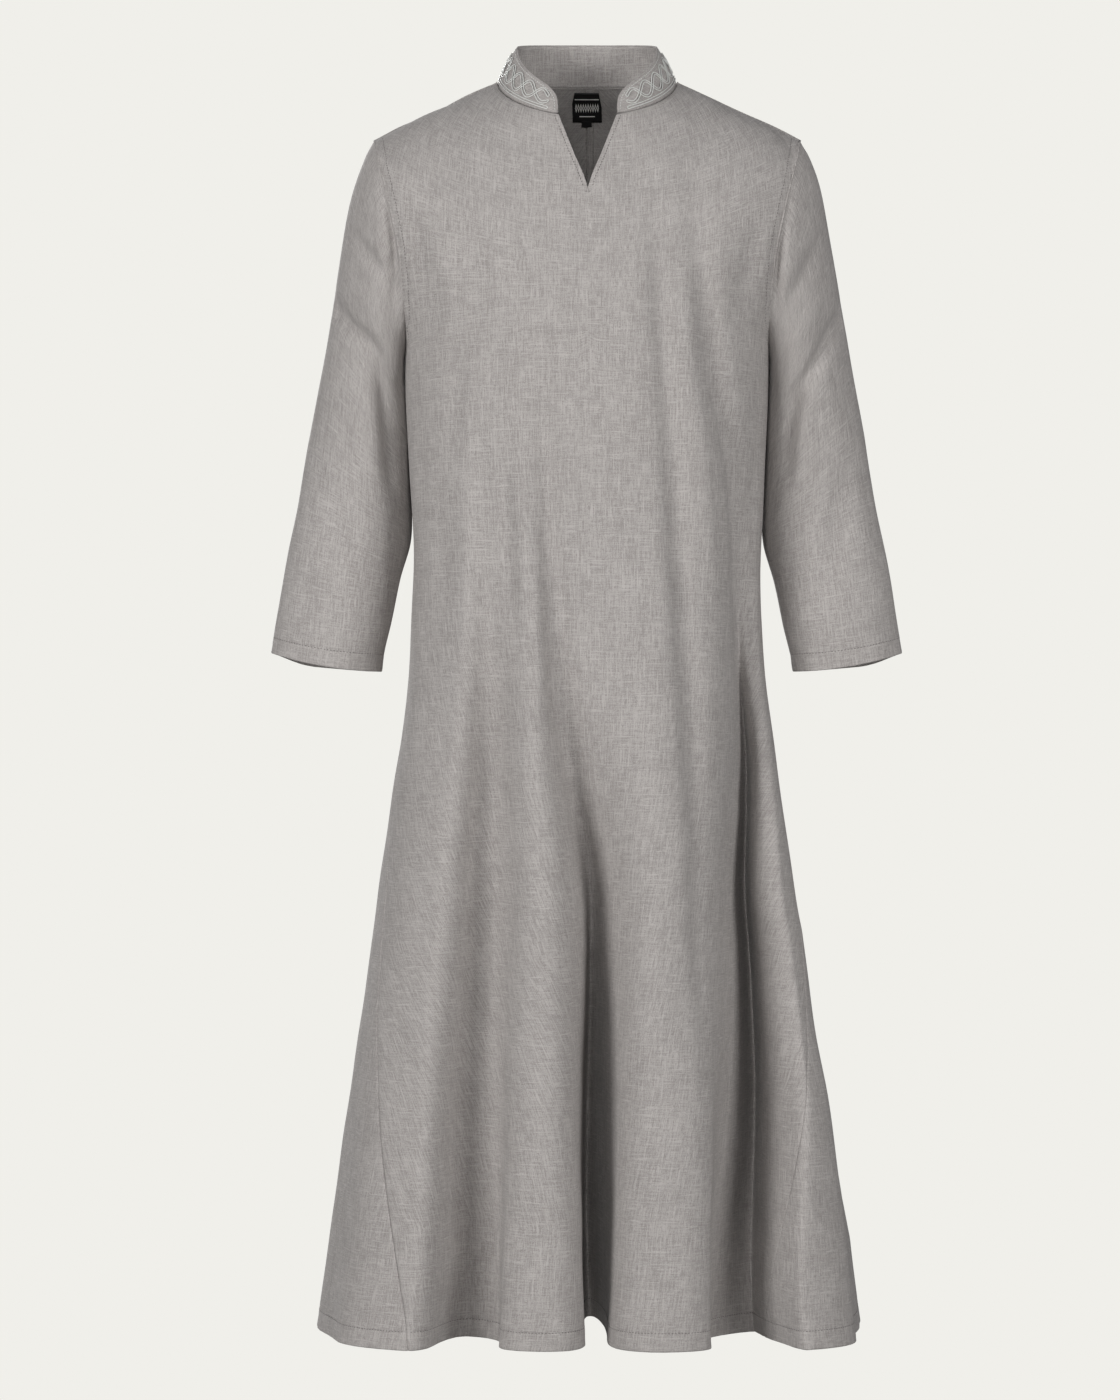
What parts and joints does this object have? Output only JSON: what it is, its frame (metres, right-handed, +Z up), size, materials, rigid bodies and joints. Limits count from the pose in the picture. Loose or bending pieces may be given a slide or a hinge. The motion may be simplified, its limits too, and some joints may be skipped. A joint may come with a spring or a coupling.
{
  "type": "tunic",
  "caption": "Long linen tunic with a short stand collar, V slit neck, straight three-quarter sleeves and side gores that flare the skirt; worn shape, hollow.",
  "frame": {"origin": "on the body's axis at the height where the shoulder seams meet the neckline, where the wearer's shoulders hold the tunic up", "axes": "+Z up, -Y is the front, +X is the wearer's left side; the skirt hangs towards -Z"},
  "size_m": [0.714, 0.394, 1.4528],
  "materials": {
    "linen": "plain-weave linen, warm mid grey, matt with slubs",
    "woven_label": "black damask label tape with plain pale woven marks"
  },
  "bodies": {
    "root": {"front": "linen", "back_left": "linen", "back_right": "linen", "gore_left": "linen", "gore_right": "linen", "sleeve_left": "linen", "sleeve_right": "linen", "collar": "linen", "label": "woven_label", "size_tab": "woven_label"}
  },
  "joints": []
}
